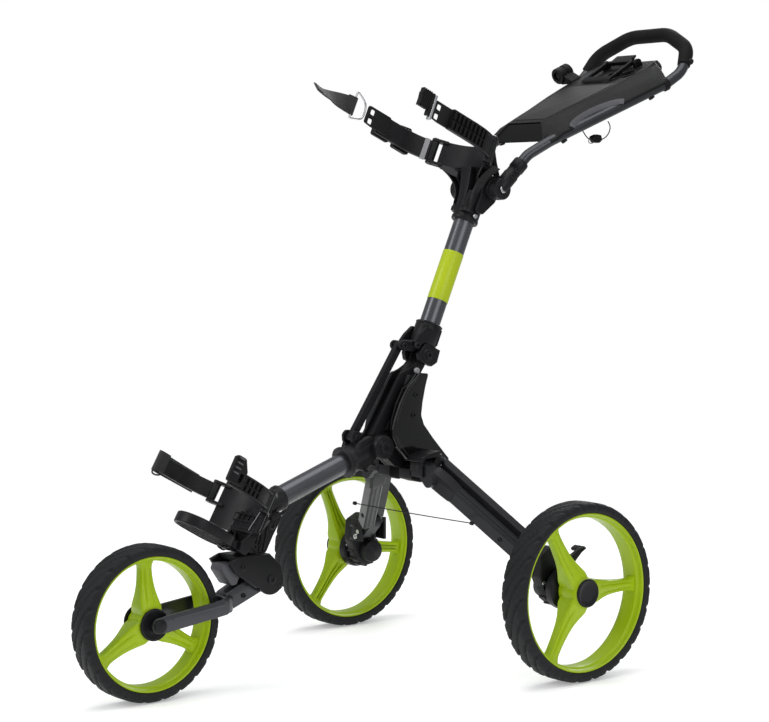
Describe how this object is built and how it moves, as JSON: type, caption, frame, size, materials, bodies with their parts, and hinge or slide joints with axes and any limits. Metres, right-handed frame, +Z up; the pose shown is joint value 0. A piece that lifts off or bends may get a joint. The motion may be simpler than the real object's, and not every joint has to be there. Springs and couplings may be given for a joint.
{
  "type": "golf push cart",
  "caption": "Folding golf push cart with a front wheel on a fork, spoked rear wheels on folding legs, cradles for a golf bag, a console and a looped handle.",
  "frame": {"origin": "on the ground, under the middle of the bounding box", "axes": "+X forward, the way the cart is pushed, +Y to the cart's left, +Z up"},
  "size_m": [1.2222, 0.671, 1.098],
  "materials": {
    "tube_paint": "satin metallic",
    "handle_paint": "satin",
    "casting": "satin moulded",
    "cradle_arm": "satin moulded",
    "leg_paint": "satin",
    "carrier": "satin",
    "cover_gloss": "polished",
    "steel": "plated",
    "button_grey": "satin",
    "lime_rim": "smooth moulded",
    "lime_band": "satin film",
    "tyre": "matt",
    "hub_cap": "satin",
    "grip": "soft foam",
    "rubber_link": "matt",
    "webbing": "woven",
    "cord": "braided",
    "cable": "smooth sheath",
    "console_top": "satin",
    "console_shell": "satin"
  },
  "bodies": {
    "boom_frame": {"boom_tube": "tube_paint", "boom_hub": "casting", "lower_bracket": "casting", "fork_mount": "casting", "frame_pins": "steel"},
    "bag_rest": {"bag_rest_ring": "casting"},
    "lower_left": {"lower_arm_left": "cradle_arm", "lower_buckle": "cradle_arm"},
    "lower_right": {"lower_arm_right": "cradle_arm", "lower_strap": "webbing"},
    "spine": {"spine_casting": "casting", "cover_left": "cover_gloss", "cover_right": "cover_gloss", "spine_fasteners": "steel", "brake_cable": "cable"},
    "button": {"release_button": "button_grey"},
    "strut": {"brace_strut": "leg_paint"},
    "collar": {"collar_casting": "casting", "collar_pins": "steel"},
    "upper": {"tube_socket": "casting", "upper_tube": "tube_paint", "tube_band": "lime_band", "upper_bracket": "casting", "bracket_fasteners": "steel"},
    "arm_left": {"upper_arm_left": "cradle_arm", "left_link": "rubber_link", "left_hook": "cradle_arm"},
    "arm_right": {"upper_arm_right": "cradle_arm", "right_buckle": "cradle_arm", "right_link": "rubber_link", "strap_ring": "steel", "strap_tail": "webbing"},
    "handle": {"handle_tube": "handle_paint", "handle_grip": "grip", "handle_knuckles": "casting", "console_deck": "console_top", "console_skirt": "console_shell", "elastic_cord": "cord"},
    "clip": {"scorecard_clip": "console_shell"},
    "leg_left": {"leg_left": "leg_paint"},
    "leg_right": {"leg_right": "leg_paint"},
    "link_left": {"link_left": "leg_paint"},
    "link_right": {"link_right": "leg_paint"},
    "carrier_left": {"carrier_left": "carrier", "axle_left": "steel"},
    "carrier_right": {"carrier_right": "carrier", "axle_right": "steel"},
    "pedal": {"brake_pedal": "carrier"},
    "wheel_left": {"rear_rim_left": "lime_rim", "rear_tyre_left": "tyre", "hub_cap_left": "hub_cap"},
    "wheel_right": {"rear_rim_right": "lime_rim", "rear_tyre_right": "tyre", "hub_cap_right": "hub_cap"},
    "fork": {"fork_yoke": "casting", "front_axle": "steel"},
    "wheel_front": {"front_rim": "lime_rim", "front_tyre": "tyre", "front_hub_caps": "hub_cap"},
    "latch": {"fork_latch": "button_grey"}
  },
  "joints": [
    {"name": "frame_fold", "type": "hinge", "parent": "boom_frame", "child": "spine", "pos_m": [0.04188, 0, 0.368], "axis": [0, -1, 0], "range_deg": [0, 38], "deforming": ["brake_cable"]},
    {"name": "strut_swing", "type": "hinge", "parent": "boom_frame", "child": "strut", "pos_m": [0.08657, 0, 0.3855], "axis": [0, -1, 0], "range_deg": [0, 38]},
    {"name": "collar_swing", "type": "hinge", "parent": "spine", "child": "collar", "pos_m": [-0.05822, 0, 0.5169], "axis": [0, -1, 0], "range_deg": [-38, 0]},
    {"name": "tube_fold", "type": "hinge", "parent": "collar", "child": "upper", "pos_m": [-0.03513, 0, 0.535], "axis": [0, 1, 0], "range_deg": [0, 85]},
    {"name": "handle_angle", "type": "hinge", "parent": "upper", "child": "handle", "pos_m": [-0.19412, 0, 0.797], "axis": [0, -1, 0], "range_deg": [-15, 110]},
    {"name": "card_clip", "type": "hinge", "parent": "handle", "child": "clip", "pos_m": [-0.53181, 0, 1.02879], "axis": [0, -1, 0], "range_deg": [0, 35], "stiffness_Nm_per_rad": 0.2, "springref_deg": -17.19},
    {"name": "rest_fold", "type": "hinge", "parent": "boom_frame", "child": "bag_rest", "pos_m": [0.32439, 0, 0.22662], "axis": [0, -1, 0], "range_deg": [0, 60]},
    {"name": "lower_arm_left_swing", "type": "hinge", "parent": "boom_frame", "child": "lower_left", "pos_m": [0.30992, 0.07604, 0.30487], "axis": [-0.5, 0, 0.866], "range_deg": [-12, 20]},
    {"name": "lower_arm_right_swing", "type": "hinge", "parent": "boom_frame", "child": "lower_right", "pos_m": [0.30992, -0.07604, 0.30487], "axis": [0.5, 0, -0.866], "range_deg": [-12, 20]},
    {"name": "upper_arm_left_swing", "type": "hinge", "parent": "upper", "child": "arm_left", "pos_m": [-0.15082, 0.07604, 0.86307], "axis": [-0.4051, 0, 0.9143], "range_deg": [-12, 20]},
    {"name": "upper_arm_right_swing", "type": "hinge", "parent": "upper", "child": "arm_right", "pos_m": [-0.15082, -0.07604, 0.86307], "axis": [0.4051, 0, -0.9143], "range_deg": [-12, 20]},
    {"name": "leg_left_fold", "type": "hinge", "parent": "spine", "child": "leg_left", "pos_m": [-0.01982, 0.062, 0.3334], "axis": [-1, 0, 0], "range_deg": [0, 30]},
    {"name": "link_left_fold", "type": "hinge", "parent": "spine", "child": "link_left", "pos_m": [-0.04983, 0.062, 0.3474], "axis": [-1, 0, 0], "range_deg": [0, 30]},
    {"name": "carrier_left_fold", "type": "hinge", "parent": "leg_left", "child": "carrier_left", "pos_m": [-0.11382, 0.222, 0.1845], "axis": [-1, 0, 0], "range_deg": [-30, 0]},
    {"name": "wheel_left_spin", "type": "hinge", "parent": "carrier_left", "child": "wheel_left", "pos_m": [-0.13612, 0.309, 0.146], "axis": [0, 1, 0], "continuous": true},
    {"name": "leg_right_fold", "type": "hinge", "parent": "spine", "child": "leg_right", "pos_m": [-0.01982, -0.062, 0.3334], "axis": [1, 0, 0], "range_deg": [0, 30]},
    {"name": "link_right_fold", "type": "hinge", "parent": "spine", "child": "link_right", "pos_m": [-0.04983, -0.062, 0.3474], "axis": [1, 0, 0], "range_deg": [0, 30]},
    {"name": "carrier_right_fold", "type": "hinge", "parent": "leg_right", "child": "carrier_right", "pos_m": [-0.11382, -0.222, 0.1845], "axis": [1, 0, 0], "range_deg": [-30, 0]},
    {"name": "wheel_right_spin", "type": "hinge", "parent": "carrier_right", "child": "wheel_right", "pos_m": [-0.13612, -0.309, 0.146], "axis": [0, 1, 0], "continuous": true},
    {"name": "brake_pedal_press", "type": "hinge", "parent": "carrier_left", "child": "pedal", "pos_m": [-0.15812, 0.255, 0.19], "axis": [0, -1, 0], "range_deg": [0, 20]},
    {"name": "fork_fold", "type": "hinge", "parent": "boom_frame", "child": "fork", "pos_m": [0.27087, 0, 0.171], "axis": [0, 1, 0], "range_deg": [0, 150]},
    {"name": "wheel_front_spin", "type": "hinge", "parent": "fork", "child": "wheel_front", "pos_m": [0.48838, 0, 0.1227], "axis": [0, 1, 0], "continuous": true},
    {"name": "fork_latch_lift", "type": "hinge", "parent": "boom_frame", "child": "latch", "pos_m": [0.32588, 0, 0.196], "axis": [0, -1, 0], "range_deg": [0, 20], "stiffness_Nm_per_rad": 0.5, "springref_deg": -11.46},
    {"name": "release_press", "type": "slide", "parent": "spine", "child": "button", "axis": [0, -1, 0], "range_m": [0, 0.004], "stiffness_N_per_m": 500, "springref_m": -0.002}
  ],
  "couplings": [
    {"joint": "strut_swing", "follows": "frame_fold", "ratio": 1},
    {"joint": "collar_swing", "follows": "frame_fold", "ratio": -1},
    {"joint": "leg_left_fold", "follows": "frame_fold", "ratio": 0.78947},
    {"joint": "link_left_fold", "follows": "frame_fold", "ratio": 0.78947},
    {"joint": "carrier_left_fold", "follows": "frame_fold", "ratio": -0.78947},
    {"joint": "leg_right_fold", "follows": "frame_fold", "ratio": 0.78947},
    {"joint": "link_right_fold", "follows": "frame_fold", "ratio": 0.78947},
    {"joint": "carrier_right_fold", "follows": "frame_fold", "ratio": -0.78947}
  ]
}
